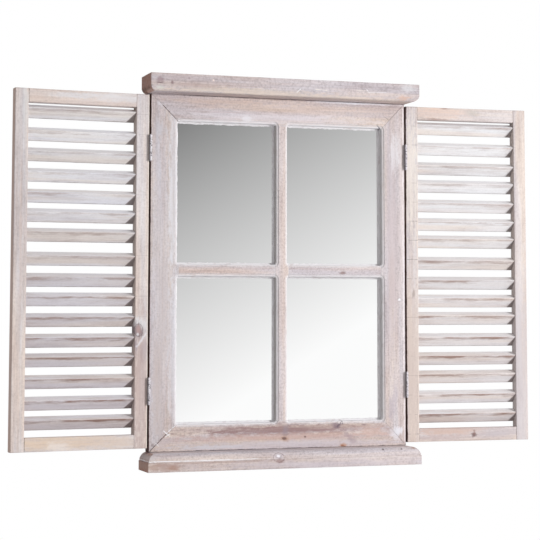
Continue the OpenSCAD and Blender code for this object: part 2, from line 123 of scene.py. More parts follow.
def shades(material, value, stops):
    """A colour that runs through the stops' colours."""
    ramp = lay(material, "ValToRGB", {0: value})
    band = ramp.color_ramp
    while len(band.elements) < len(stops):
        band.elements.new(0.5)
    for element, (place, colour) in zip(band.elements, stops):
        element.position = place
        element.color = colour
    return ramp.outputs[0]


def mottle(material, place, stretch, detail=3.0, rough=0.55, shift=0.0):
    """Noise from 0 to 1 in spots whose size is 1 / stretch along each axis, in metres."""
    sockets = {"Vector": place, "Scale": stretch, "Location": (shift,) * 3}
    moved = lay(material, "Mapping", sockets).outputs[0]
    sockets = {"Vector": moved, "Scale": 1.0, "Detail": detail, "Roughness": rough}
    return lay(material, "TexNoise", sockets).outputs[0]


# In metres: the front face and the ledge before the glass, and the routed part of the
# members round the four panes, from its middle, with the width of its soft edge
front, ledge = -0.026, -0.012
opening_x, opening_z = 0.0024, -0.285
routed_half_w, routed_half_h, routed_soft = 0.2225, 0.3010, 0.0025
arris_reach, arris_radius = 0.003, 0.0022

unchanged = (1, 1, 1, 1)
chalk = paint(246, 244, 247)
gap_dark = paint(76, 58, 56)
wall_grey = paint(180, 174, 172)


def whitewashed_pine(
    name,
    upright,
    heart,
    wash,
    cover,
    seed,
    turn=0.0,
    marks=(),
    cracks=(),
    stagger=None,
    moulded=False,
    walls=0.0,
    sides=(),
    nose=None,
    wear=0.6,
    grainy=1.0,
    hairlines=None,
):
    """Pine under thin whitewash. The year rings lie round a heart beside the board.

    upright: the grain runs up the piece and not along it.
    wash: the whitewash's colours, from the coolest to the warmest.
    cover: how much of the wood the wash hides.
    turn: how far the board is swung about the upright axis.
    marks: knots, bare and thick places, as (x, z, half length, half height, colour, strength).
    cracks: open joints, as (x, z, x, z, width, colour, strength).
    stagger: (z, pitch) of pieces that lie one above another and come from different boards.
    moulded: the routed edge and its ledge keep more of the wash.
    walls: share of grey on the routed walls that face left or right.
    sides: faces to the left or right, as (from |x|, to |x|, colour, share).
    nose: a slat's rubbed front edge, painted light on its top faces and a painted shadow in
    its corner at the stile, as (front face, middle, half length, slope of the painted
    shadow, strength, share of grey in the lowest slat).
    wear: share of the wash that is gone from the arrises.
    grainy: how much the wash is broken up by the roughness of the wood.
    hairlines: fine cracks across a stile, as (z, pitch, from |x|, to |x|, strength).
    """
    material, shader = new_finish(name)
    texture = lay(material, "TexCoord", {})
    place = texture.outputs["Object"]
    place_x, place_y, place_z = split(material, place)
    facing_x, _, facing_z = split(material, texture.outputs["Normal"])
    off_centre = size_of(material, place_x)
    board = place
    if stagger:
        lowest, pitch = stagger
        number = reckon(material, "DIVIDE", less(material, place_z, lowest), pitch)
        number = reckon(material, "FLOOR", number)
        chance = lay(material, "TexWhiteNoise", {"W": number}, noise_dimensions="1D")
        chance = chance.outputs["Color"]
        far = steer(material, "MULTIPLY", chance, (3.0, 0.05, 0.02))
        board = steer(material, "ADD", place, far)
    lie = (0, math.pi / 2 if upright else 0, turn)
    timber = lay(material, "Mapping", {"Vector": board, "Rotation": lie}).outputs[0]

    # Year rings, pale wood of spring running into a narrow dark line of late summer
    sockets = {"Vector": timber, "Location": heart, "Scale": (0.07, 1, 1)}
    rings = lay(
        material,
        "TexWave",
        {
            "Vector": lay(material, "Mapping", sockets).outputs[0],
            "Scale": 62.0,
            "Distortion": 7.0,
            "Detail": 2.0,
            "Detail Scale": 9.0,
            "Detail Roughness": 0.5,
            "Phase Offset": seed,
        },
        wave_type="RINGS",
        rings_direction="X",
        wave_profile="SAW",
    ).outputs["Fac"]
    wood = shades(
        material,
        rings,
        [
            (0.0, paint(192, 168, 160)),
            (0.55, paint(180, 155, 148)),
            (0.88, paint(150, 122, 116)),
            (1.0, paint(174, 150, 142)),
        ],
    )
    late = fade(material, rings, 0.6, 0.95)
    violet = mottle(material, timber, (4, 24, 24), 2, 0.5, seed + 21)
    violet = fade(material, violet, 0.42, 0.62, 0.0, 0.55)
    wood = blend(material, violet, wood, paint(150, 136, 142))

    # Brush strokes, the wiped places and the fine fibres
    strokes = mottle(material, timber, (7, 170, 170), 3, 0.6, seed)
    wiped = mottle(material, timber, (5, 34, 34), 3, 0.6, seed + 5)
    fibres = mottle(material, timber, (40, 1500, 1500), 2, 0.6, seed + 9)
    tone = mottle(material, timber, (2.6, 45, 45), 2, 0.5, seed + 13)
    covered = plus(
        material,
        fade(material, strokes, 0.3, 0.7, -0.1, 0.1),
        fade(material, wiped, 0.33, 0.67, -0.16, 0.12),
        cover,
    )
    covered = less(material, covered, times(material, late, 0.1))

    # Arrises, found by looking how the surface bends within their reach
    bent = lay(material, "Bevel", {"Radius": arris_reach}, samples=4).outputs[0]
    flat = lay(material, "NewGeometry", {}).outputs["Normal"]
    arris = fade(material, steer(material, "DOT_PRODUCT", bent, flat), 0.985, 0.82)
    rubbed = mottle(material, timber, (28, 28, 28), 3, 0.6, seed + 31)
    worn = times(material, arris, fade(material, rubbed, 0.42, 0.6))
    covered = less(material, covered, times(material, worn, wear))
    least, most = (0.6, 0.9) if upright else (0.15, 0.4)
    sideways = fade(material, size_of(material, facing_x), least, most)

    # A slat's nose, rubbed bare underneath; painted light on its top faces and a painted
    # shadow in its corner at the stile
    if nose:
        face, middle, half_length, shadow_slant, rub_share, low_share = nose
        rub_reach, rub_soft, rub_waver = 0.0085, 0.0055, 0.0018
        rub_from_middle, rub_thins_from = 0.125, 0.09
        highest_slat, lowest_slat = -0.02, -0.58
        nose_end = face + rub_reach
        sockets = {"Vector": place, "Rotation": (0, 0, turn)}
        along, depth, _ = split(material, lay(material, "Mapping", sockets).outputs[0])
        past_middle = less(material, along, middle)
        down = fade(material, facing_z, 0.3, -0.1)
        top_face = fade(material, facing_z, 0.2, 0.6)
        low = fade(material, place_z, highest_slat, lowest_slat)
        # Painted light: more wash on the slats' top faces, most on the highest slats
        upper = times(material, top_face, fade(material, low, 0.0, 1.0, 0.25, 0.08))
        covered = plus(material, covered, upper)
        uneven = mottle(material, timber, (30, 200, 10), 3, 0.6, seed + 37)
        uneven = fade(material, uneven, 0.3, 0.7, -rub_waver, rub_waver)
        patchy = mottle(material, timber, (12, 80, 3), 4, 0.65, seed + 41)
        ends = size_of(material, past_middle)
        patchy = times(
            material,
            fade(material, patchy, 0.34, 0.60),
            fade(material, ends, rub_from_middle, rub_thins_from, 0.35, 1.0),
            fade(material, low, 0.0, 1.0, 0.55, 1.2),
        )
        near = fade(material, plus(material, depth, uneven), nose_end, nose_end - rub_soft)
        rub = times(material, near, down, patchy)
        covered = less(material, covered, times(material, rub, rub_share))
        wood = blend(material, rub, wood, paint(176, 150, 140))
        # Painted shadow: a wedge at each slat's end beside the stile, widening back from the nose
        # along the slope of the lamp's shadow
        behind = less(material, depth, face)
        corner = plus(material, past_middle, times(material, behind, shadow_slant))
        corner = fade(material, corner, half_length - 0.0005, half_length + 0.0015, 0.0, 0.85)
        painted_shadow = times(material, corner, down)
        # Painted light: chalk over the top faces, paler on the higher slats
        painted_top_light = times(material, top_face, fade(material, low, 0.0, 1.0, 0.5, 0.2))
        bare = mottle(material, timber, (8, 50, 50), 3, 0.6, seed + 43)
        bare = times(material, top_face, low, fade(material, bare, 0.44, 0.62, 0.0, 0.35))
        grey = fade(material, top_face, 0.0, 1.0, low_share, 0.35 * low_share)
        grey = times(material, low, grey)

    # The wash on the wood
    covered = lay(material, "Clamp", {0: covered}).outputs[0]
    white = shades(
        material,
        fade(material, tone, 0.3, 0.7),
        [(0.1, wash[0]), (0.5, wash[1]), (0.95, wash[2])],
    )
    colour = blend(material, covered, wood, white)
    if nose:
        # The painted light on the top faces
        colour = blend(material, painted_top_light, colour, chalk)
        colour = blend(material, bare, colour, paint(212, 196, 188))
        # The painted shadow in the slat's corner at the stile
        colour = blend(material, painted_shadow, colour, paint(152, 140, 138))
    specks = mottle(material, place, (230, 230, 230), 3, 0.75, seed + 61)
    specks = shades(
        material,
        fade(material, specks, 0.3, 0.7),
        [(0.0, (0.80, 0.785, 0.785, 1)), (0.66, (1.04, 1.035, 1.035, 1))],
    )
    colour = blend(material, grainy, colour, specks, "MULTIPLY")

    # Thicker wash in the routed edge and grey on its walls
    if moulded:
        thick = mottle(material, place, (60, 60, 60), 3, 0.6, seed + 51)
        across = size_of(material, less(material, place_x, opening_x))
        up = size_of(material, less(material, place_z, opening_z))
        around = times(
            material,
            fade(material, across, routed_half_w, routed_half_w - routed_soft),
            fade(material, up, routed_half_h, routed_half_h - routed_soft),
        )
        round_starts, round_deep, wall_starts, wall_deep = (
            front + below for below in (0.0004, 0.0025, 0.002, 0.004)
        )
        deep = fade(material, place_y, round_starts, round_deep)
        deep = reckon(material, "MAXIMUM", deep, times(material, arris, around, 0.8))
        thick = times(material, deep, fade(material, thick, 0.3, 0.5, 0.6, 1.0))
        colour = blend(material, thick, colour, chalk)
        wall = times(
            material,
            fade(material, place_y, wall_starts, wall_deep),
            fade(material, place_y, ledge, ledge - 0.0006),
            sideways,
            walls,
        )
        colour = blend(material, wall, colour, wall_grey)
    for near_x, far_x, tint, share in sides:
        streaky = fade(material, strokes, 0.3, 0.7, 0.75 * share, share)
        within = between(material, off_centre, near_x, far_x)
        colour = blend(material, times(material, within, sideways, streaky), colour, tint)
    fine = shades(material, fibres, [(0.3, (0.90, 0.89, 0.885, 1)), (0.7, unchanged)])
    colour = blend(material, 1.0, colour, fine, "MULTIPLY")
    if stagger:
        shade = split(material, chance)[2]
        shade = shades(material, shade, [(0.0, (0.92, 0.91, 0.905, 1)), (1.0, unchanged)])
        colour = blend(material, 1.0, colour, shade, "MULTIPLY")
    if nose:
        colour = blend(material, grey, colour, paint(221, 211, 211), "MULTIPLY")

    # Hairlines, knots and other marks, and the open joints
    if hairlines:
        z, step, near_x, far_x, strength = hairlines
        hair, hair_soft = 0.0003, 0.0009
        beside = reckon(material, "PINGPONG", less(material, place_z, z), step / 2)
        broken = mottle(material, place, (60, 60, 40), 3, 0.6, seed + 71)
        line = times(
            material,
            fade(material, beside, hair_soft, hair),
            fade(material, broken, 0.42, 0.56, 0.0, strength),
            between(material, off_centre, near_x, far_x),
        )
        colour = blend(material, line, colour, gap_dark)
    coarse = (220, 220, 60) if upright else (60, 220, 220)
    ragged = mottle(material, place, coarse, 5, 0.7, seed + 3)
    streaks = fade(material, strokes, 0.32, 0.62, 0.62, 1.0)
    large = 0.02
    for x, z, half_l, half_h, tint, strength in marks:
        away = steer(material, "SUBTRACT", place, (x, 0, z))
        away = steer(material, "MULTIPLY", away, (1 / half_l, 0, 1 / half_h))
        away = steer(material, "LENGTH", away)
        away = plus(material, away, fade(material, ragged, 0.3, 0.7, -0.4, 0.4))
        shown = fade(material, away, 1.35, 0.3, 0.0, strength)
        if max(half_l, half_h) > large:
            shown = times(material, shown, streaks)
        colour = blend(material, shown, colour, tint)
    before, after = -0.002, 0.001
    for x0, z0, x1, z1, width, tint, strength in cracks:
        length = math.hypot(x1 - x0, z1 - z0)
        way = ((x1 - x0) / length, 0, (z1 - z0) / length)
        from_start = steer(material, "SUBTRACT", place, (x0, 0, z0))
        run = steer(material, "DOT_PRODUCT", from_start, way)
        aside = steer(material, "DOT_PRODUCT", from_start, (-way[2], 0, way[0]))
        waver = fade(material, ragged, 0.35, 0.65, -0.3 * width, 0.5 * width)
        aside = plus(material, size_of(material, aside), waver)
        line = times(
            material,
            fade(material, run, before, after),
            fade(material, run, length - before, length - after),
            fade(material, aside, width, width * 0.4, 0.0, strength),
        )
        colour = blend(material, line, colour, tint)

    relief = plus(material, fibres, times(material, strokes, 0.6), times(material, rings, -0.4))
    eased = lay(material, "Bevel", {"Radius": arris_radius}, samples=6).outputs[0]
    bump = lay(
        material,
        "Bump",
        {"Strength": 0.35, "Distance": 0.0006, "Height": relief, "Normal": eased},
    )
    links = material.node_tree.links
    links.new(colour, shader.inputs["Base Color"])
    links.new(fade(material, covered, 0.2, 1.0, 0.62, 0.82), shader.inputs["Roughness"])
    links.new(bump.outputs[0], shader.inputs["Normal"])
    shader.inputs["Specular IOR Level"].default_value = 0.25
    return material


def give(material, *nodes):
    """Puts a finish on solids of the frame."""
    for node in nodes:
        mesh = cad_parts[node].data
        mesh.materials.clear()
        mesh.materials.append(material)


# The cracks and the lines along the arrises, some of them painted shade and painted
# highlight, run past both ends of the members.
low_end, high_end = -0.63, 0.06
mitres = (
    (-0.2415, 0.0380, -0.2105, 0.0070, 0.0009, gap_dark, 0.9),
    (-0.2118, -0.5791, -0.2300, -0.5950, 0.0011, chalk, 0.9),
    (-0.2310, -0.5960, -0.2640, -0.6290, 0.0011, gap_dark, 0.8),
    (-0.2360, -0.5900, -0.2235, -0.6010, 0.0014, chalk, 0.8),
    (-0.2320, -0.6010, -0.2235, -0.5960, 0.0013, chalk, 0.8),
    (-0.2520, -0.6120, -0.2450, -0.6190, 0.0014, chalk, 0.6),
    (0.2440, -0.6080, 0.2600, -0.6250, 0.0007, gap_dark, 0.3),
    (0.2130, 0.0050, 0.2640, 0.0590, 0.0007, gap_dark, 0.25),
)
joint_lines_and_cornice_shadow = (
    (-0.265, -0.6296, 0.265, -0.6296, 0.0016, paint(96, 84, 86), 0.85),
    # A dark joint line under the cornice that also stands in as the cornice's painted shadow
    (-0.200, 0.0594, 0.265, 0.0594, 0.0013, paint(108, 92, 92), 0.7),
)
# Bare wood on the frame's outer sides, darkened to a painted shade where they face the hinge gaps
bare_sides_and_gap_shade = ((0.262, 0.27, paint(130, 78, 60), 0.9),)
gap_shade_and_edge_highlight = (
    # A painted highlight along the frame's right-hand outer arris
    (0.2622, -0.62, 0.2622, 0.05, 0.0026, paint(250, 242, 244), 0.6),
    # Painted shade along the frame's outer arrises, widening the dark gaps at the hinges
    (-0.2652, low_end, -0.2652, high_end, 0.0013, paint(78, 46, 38), 0.8),
    (0.2652, low_end, 0.2652, high_end, 0.0013, paint(78, 46, 38), 0.8),
)
give(
    whitewashed_pine(
        "washed_frame_stile",
        True,
        (0.3, 0.045, 0.06),
        wash=(paint(220, 217, 223), paint(228, 219, 220), paint(231, 220, 215)),
        cover=0.76,
        seed=2.0,
        moulded=True,
        walls=0.35,
        sides=bare_sides_and_gap_shade,
        cracks=mitres + joint_lines_and_cornice_shadow + gap_shade_and_edge_highlight,
        marks=(
            # The left stile: thicker wash along the panes, bare wood low down
            (-0.2420, -0.2600, 0.0250, 0.3200, paint(222, 222, 232), 0.4),
            (-0.2207, -0.1300, 0.0095, 0.2000, paint(234, 234, 240), 0.7),
            (-0.2220, -0.4300, 0.0080, 0.1300, paint(228, 226, 232), 0.5),
            (-0.2476, -0.0071, 0.0120, 0.0195, paint(206, 204, 210), 0.5),
            (-0.2485, -0.5670, 0.0013, 0.0303, paint(168, 156, 164), 0.45),
            (-0.2490, -0.5200, 0.0110, 0.1000, paint(204, 188, 182), 0.7),
            (-0.2380, -0.3600, 0.0100, 0.0900, paint(206, 196, 198), 0.4),
            (-0.2580, -0.6165, 0.0029, 0.0028, paint(140, 124, 126), 0.6),
            (-0.2612, -0.6290, 0.0025, 0.0015, chalk, 0.9),
            (-0.2479, 0.0430, 0.0060, 0.0050, paint(228, 224, 230), 0.6),
            # The right stile: bare down the middle, a small knot with a white heart
            (0.2360, -0.2400, 0.0130, 0.2600, paint(208, 196, 199), 0.7),
            (0.2590, -0.2000, 0.0065, 0.2600, paint(234, 222, 221), 0.5),
            (0.2380, -0.3000, 0.0090, 0.0700, paint(204, 188, 188), 0.5),
            (0.2450, -0.0400, 0.0120, 0.0400, paint(234, 232, 236), 0.6),
            (0.2347, -0.5560, 0.0100, 0.0240, paint(182, 172, 182), 0.6),
            (0.2440, -0.5250, 0.0060, 0.0240, paint(190, 180, 190), 0.45),
            (0.2490, -0.6009, 0.0110, 0.0090, paint(240, 240, 248), 0.7),
            (0.2523, -0.3385, 0.0045, 0.0045, paint(176, 164, 168), 0.6),
            (0.2523, -0.3385, 0.0030, 0.0030, chalk, 0.95),
            (0.2537, 0.0543, 0.0022, 0.0041, chalk, 0.9),
        ),
    ),
    "frame_left_stile",
    "frame_right_stile",
)
give(
    whitewashed_pine(
        "washed_frame_rail",
        False,
        (0.1, 0.05, 0.08),
        wash=(paint(222, 218, 224), paint(230, 220, 221), paint(236, 222, 212)),
        cover=0.74,
        seed=7.0,
        moulded=True,
        sides=bare_sides_and_gap_shade,
        cracks=mitres
        + joint_lines_and_cornice_shadow
        + (
            (0.2234, 0.0314, 0.2290, 0.0280, 0.0007, gap_dark, 0.55),
            (0.2290, 0.0280, 0.2326, 0.0211, 0.0007, gap_dark, 0.55),
            (0.2052, 0.0146, 0.2139, 0.0073, 0.0012, paint(110, 104, 116), 0.8),
            (0.1180, -0.5900, 0.1290, -0.5790, 0.0022, paint(110, 98, 108), 0.7),
            (0.1290, -0.5850, 0.1300, -0.5800, 0.0014, paint(90, 82, 92), 0.6),
        ),
        marks=(
            # The top rail: warm and chalky streaks along the grain
            (-0.1200, 0.0490, 0.140, 0.0050, paint(230, 204, 186), 0.45),
            (0.0500, 0.0400, 0.200, 0.0110, paint(234, 214, 200), 0.45),
            (-0.1060, 0.0287, 0.125, 0.0016, paint(198, 176, 176), 0.5),
            (0.1554, 0.0575, 0.105, 0.0024, paint(240, 240, 246), 0.8),
            (0.0000, 0.0200, 0.230, 0.0120, paint(236, 230, 236), 0.6),
            (-0.0709, 0.0165, 0.0120, 0.0075, paint(244, 244, 250), 0.5),
            # The bottom rail: a dark band under the panes, a knot and a slanting vein
            (0.0200, -0.5930, 0.230, 0.0105, paint(150, 120, 120), 0.9),
            (0.0, -0.6070, 0.240, 0.0075, paint(202, 168, 158), 0.7),
            (0.1900, -0.6000, 0.0350, 0.0120, paint(222, 192, 178), 0.6),
            (0.2450, -0.6050, 0.0130, 0.0170, paint(236, 234, 242), 0.7),
            (-0.2400, -0.6150, 0.0200, 0.0110, paint(214, 200, 200), 0.6),
            (0.0, -0.6210, 0.250, 0.0080, paint(216, 208, 214), 0.75),
            (-0.1500, -0.6240, 0.080, 0.0050, paint(220, 220, 228), 0.5),
            (0.0090, -0.6090, 0.0090, 0.0070, paint(192, 158, 140), 0.8),
            (0.0075, -0.6100, 0.0045, 0.0032, paint(116, 88, 80), 0.9),
            (0.0110, -0.5900, 0.0070, 0.0085, paint(156, 142, 150), 0.6),
            (0.0095, -0.6000, 0.0065, 0.0080, paint(160, 146, 154), 0.55),
            (0.1370, -0.6040, 0.0070, 0.0065, paint(170, 150, 156), 0.6),
            (0.1450, -0.6110, 0.0070, 0.0065, paint(170, 150, 156), 0.5),
            (0.1530, -0.6180, 0.0070, 0.0065, paint(174, 156, 162), 0.5),
            (0.1175, -0.5880, 0.0100, 0.0062, paint(134, 114, 124), 0.75),
            (0.1305, -0.6262, 0.0080, 0.0038, paint(196, 150, 122), 0.8),
            (0.1290, -0.6270, 0.0035, 0.0020, paint(150, 104, 84), 0.8),
            (0.0506, -0.6076, 0.0025, 0.0021, paint(120, 96, 92), 0.8),
            (0.1747, -0.5869, 0.0053, 0.0018, paint(138, 118, 124), 0.6),
            (0.2262, -0.5868, 0.0024, 0.0020, chalk, 0.9),
        ),
    ),
    "frame_top_rail",
    "frame_bottom_rail",
)

# ---- glazing bars --------------------------------------------------------------------------
# An upright and a horizontal bar of the same pine, 14 mm wide on the front and routed on
# both edges. They are halved over each other and their stub tenons sit in the frame.

give(
    whitewashed_pine(
        "washed_upright_bar",
        True,
        (0.7, 0.03, 0.012),
        wash=(paint(228, 222, 227), paint(232, 222, 222), paint(237, 222, 216)),
        cover=0.82,
        seed=11.0,
        moulded=True,
        walls=0.75,
    ),
    "vertical_bar",
)
give(
    whitewashed_pine(
        "washed_cross_bar",
        False,
        (0.4, 0.04, 0.3),
        wash=(paint(222, 217, 224), paint(232, 220, 219), paint(236, 220, 214)),
        cover=0.76,
        seed=17.0,
        moulded=True,
        marks=((0.1308, -0.2855, 0.007, 0.0045, paint(150, 126, 122), 0.8),),
    ),
    "horizontal_bar",
)

# ---- mirror --------------------------------------------------------------------------------
# One sheet of 3 mm float glass, silvered on its back, laid in the frame's rebate behind the
# whole cross. Thin ragged lines of whitewash ran onto it and dried along the edges of the
# panes.

silvered, shader = new_finish("silvered_glass")
shader.inputs["Metallic"].default_value = 1.0
shader.inputs["Roughness"].default_value = 0.015
place = lay(silvered, "TexCoord", {}).outputs["Object"]
tint = shades(
    silvered,
    mottle(silvered, place, (2, 2, 2), 1, 0.4),
    [(0.3, (0.965, 0.97, 0.968, 1)), (0.7, (0.975, 0.977, 0.977, 1))],
)
silvered.node_tree.links.new(tint, shader.inputs["Base Color"])
give(silvered, "mirror_glass")

dried, shader = new_finish("dried_wash")
place = lay(dried, "TexCoord", {}).outputs["Object"]
dried.node_tree.links.new(
    shades(
        dried,
        mottle(dried, place, (120, 120, 120), 3, 0.6),
        [(0.3, paint(228, 224, 227)), (0.6, paint(250, 249, 250))],
    ),
    shader.inputs["Base Color"],
)
shader.inputs["Roughness"].default_value = 0.7
glass_front = -0.009
pane_x = ((-0.2086, -0.01185), (0.01665, 0.2134))
pane_z = ((-0.576, -0.29625), (-0.26775, 0.006))
bead_height, bead_width = 0.0013, 0.0012
slow_waver, quick_waver = 90, 260
touching = 1e-5

# A line starts as the outline of its pane. The outline is drawn up the wood and over the
# glass, by an amount that wavers, and the two new rims are bridged.
for row, (low, high) in zip(("lower", "upper"), pane_z):
    for side, (left, right) in zip(("left", "right"), pane_x):
        bead = bmesh.new()
        bmesh.ops.create_grid(bead, x_segments=1, y_segments=1, size=0.5)
        upright = Matrix.Rotation(math.pi / 2, 3, "X")
        bmesh.ops.rotate(bead, verts=bead.verts, matrix=upright)
        bmesh.ops.scale(bead, verts=bead.verts, vec=(right - left, 1, high - low))
        centre = ((left + right) / 2, glass_front, (low + high) / 2)
        bmesh.ops.translate(bead, verts=bead.verts, vec=centre)
        bmesh.ops.delete(bead, geom=bead.faces[:], context="FACES_ONLY")
        bmesh.ops.subdivide_edges(bead, edges=bead.edges[:], cuts=95)
        corner = bead.edges[:]
        loops = []
        for run in ("up the wood", "over the glass"):
            grown = bmesh.ops.extrude_edge_only(bead, edges=corner)["geom"]
            loops += [e for e in grown if isinstance(e, bmesh.types.BMEdge) and e not in corner]
            for vert in grown:
                if not isinstance(vert, bmesh.types.BMVert):
                    continue
                swell = 1 + 0.8 * noise.noise(vert.co * slow_waver)
                swell += 0.5 * noise.noise(vert.co * quick_waver)
                if run == "up the wood":
                    vert.co.y -= bead_height * swell
                    continue
                for axis, first, last in ((0, left, right), (2, low, high)):
                    if abs(vert.co[axis] - first) < touching:
                        vert.co[axis] += bead_width * swell
                    elif abs(vert.co[axis] - last) < touching:
                        vert.co[axis] -= bead_width * swell
        rims = [e for e in loops if len(e.link_faces) == 1]
        bmesh.ops.bridge_loops(bead, edges=rims)
        bmesh.ops.recalc_face_normals(bead, faces=bead.faces)
        mesh = bpy.data.meshes.new(f"wash_line_{row}_{side}")
        bead.to_mesh(mesh)
        bead.free()
        mesh.materials.append(dried)
        wash_line = bpy.data.objects.new(mesh.name, mesh)
        bpy.context.scene.collection.objects.link(wash_line)
        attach(wash_line, "frame")

# ---- back and hangers ----------------------------------------------------------------------
# A sheet of 4 mm plywood, screwed over the back of the glass, and two zinc-plated keyhole
# plates let into the stiles. The mirror hangs from two screws in the wall.

ply, shader = new_finish("bare_plywood")
place = lay(ply, "TexCoord", {}).outputs["Object"]
figure = lay(
    ply,
    "TexWave",
    {
        "Vector": lay(ply, "Mapping", {"Vector": place, "Scale": (1, 1, 0.12)}).outputs[0],
        "Scale": 9.0,
        "Distortion": 9.0,
        "Detail": 2.0,
        "Detail Scale": 1.2,
    },
    bands_direction="X",
).outputs["Fac"]
pores = mottle(ply, place, (900, 900, 30), 2, 0.6)
veneer = shades(
    ply,
    figure,
    [(0.2, paint(196, 162, 122)), (0.7, paint(180, 143, 102)), (1.0, paint(160, 122, 84))],
)
veneer = blend(ply, fade(ply, pores, 0.35, 0.7, 0.0, 0.35), veneer, paint(128, 96, 66))
ply.node_tree.links.new(veneer, shader.inputs["Base Color"])
ply.node_tree.links.new(
    lay(ply, "Bump", {"Strength": 0.3, "Distance": 0.0003, "Height": pores}).outputs[0],
    shader.inputs["Normal"],
)
shader.inputs["Roughness"].default_value = 0.75
give(ply, "back_board")

zinc, shader = new_finish("zinc_plate")
place = lay(zinc, "TexCoord", {}).outputs["Object"]
spangle = mottle(zinc, place, (700, 700, 700), 2, 0.5)
drawn = mottle(zinc, place, (2500, 400, 60), 2, 0.5)
zinc.node_tree.links.new(
    shades(zinc, spangle, [(0.3, (0.50, 0.50, 0.53, 1)), (0.7, (0.66, 0.66, 0.67, 1))]),
    shader.inputs["Base Color"],
)
zinc.node_tree.links.new(fade(zinc, drawn, 0.2, 0.8, 0.28, 0.5), shader.inputs["Roughness"])
shader.inputs["Metallic"].default_value = 1.0
give(zinc, "hanger_plates", "back_screws")

# ---- cornice and sill ----------------------------------------------------------------------
# Two pine boards, 34 mm thick, that stand 50 mm out from the frame. The cornice is rounded
# under its front edge and the sill over its own, and both profiles return on the ends.


def knot_ring(x, z, half_l, half_h, tint, strength):
    """The dark line of bark round a knot, as twelve short cracks."""
    bark = 0.0012
    turns = [k * math.pi / 6 for k in range(13)]
    steps = [(x + half_l * math.cos(t), z + half_h * math.sin(t)) for t in turns]
    return tuple((*a, *b, bark, tint, strength) for a, b in zip(steps, steps[1:]))


end_grain = ((0.25, 0.29, paint(172, 127, 111), 0.95),)
give(
    whitewashed_pine(
        "washed_cornice",
        False,
        (0.2, 0.09, -0.14),
        wash=(paint(220, 216, 223), paint(228, 218, 219), paint(234, 222, 214)),
        cover=0.74,
        seed=23.0,
        sides=end_grain,
        marks=(
            (-0.0804, 0.0655, 0.1872, 0.0060, paint(234, 216, 196), 0.6),
            (0.1500, 0.0660, 0.1300, 0.0060, paint(228, 208, 198), 0.5),
            # Painted shade: a dark line under the rounding of the front
            (-0.0600, 0.0600, 0.2000, 0.0012, paint(140, 118, 122), 0.6),
            (-0.1900, 0.0720, 0.0500, 0.0045, paint(190, 168, 166), 0.5),
            (-0.2214, 0.0873, 0.0399, 0.0049, paint(198, 180, 180), 0.5),
            (-0.2599, 0.0810, 0.0075, 0.0060, paint(160, 134, 140), 0.6),
            (-0.2599, 0.0755, 0.0080, 0.0016, paint(126, 104, 110), 0.8),
            (-0.2362, 0.0779, 0.0032, 0.0042, paint(140, 116, 120), 0.8),
            (-0.2025, 0.0863, 0.0022, 0.0024, paint(160, 140, 146), 0.6),
            (-0.2600, 0.0665, 0.0085, 0.0045, paint(222, 224, 216), 0.6),
            (0.0000, 0.0625, 0.2500, 0.0028, paint(244, 228, 216), 0.7),
            (0.2446, 0.0662, 0.0125, 0.0050, paint(226, 186, 164), 0.6),
            (0.2539, 0.0870, 0.0175, 0.0090, paint(236, 236, 240), 0.5),
            (-0.1540, 0.0844, 0.0023, 0.0023, paint(250, 232, 224), 0.8),
            # Painted shade low on the rounding of the left end
            (-0.2800, 0.0640, 0.0045, 0.0065, paint(84, 64, 56), 0.9),
        ),
        cracks=(
            (0.0170, 0.0680, 0.0250, 0.0752, 0.0010, chalk, 0.8),
            (0.0560, 0.0755, 0.0800, 0.0745, 0.0012, paint(250, 242, 232), 0.6),
            (0.1420, 0.0775, 0.1640, 0.0765, 0.0009, paint(250, 242, 232), 0.5),
            (0.1640, 0.0800, 0.1690, 0.0735, 0.0010, chalk, 0.6),
            (0.1690, 0.0745, 0.2060, 0.0752, 0.0010, chalk, 0.55),
            (-0.2200, 0.0748, -0.0400, 0.0752, 0.0009, paint(178, 150, 142), 0.4),
        ),
    ),
    "cornice",
)
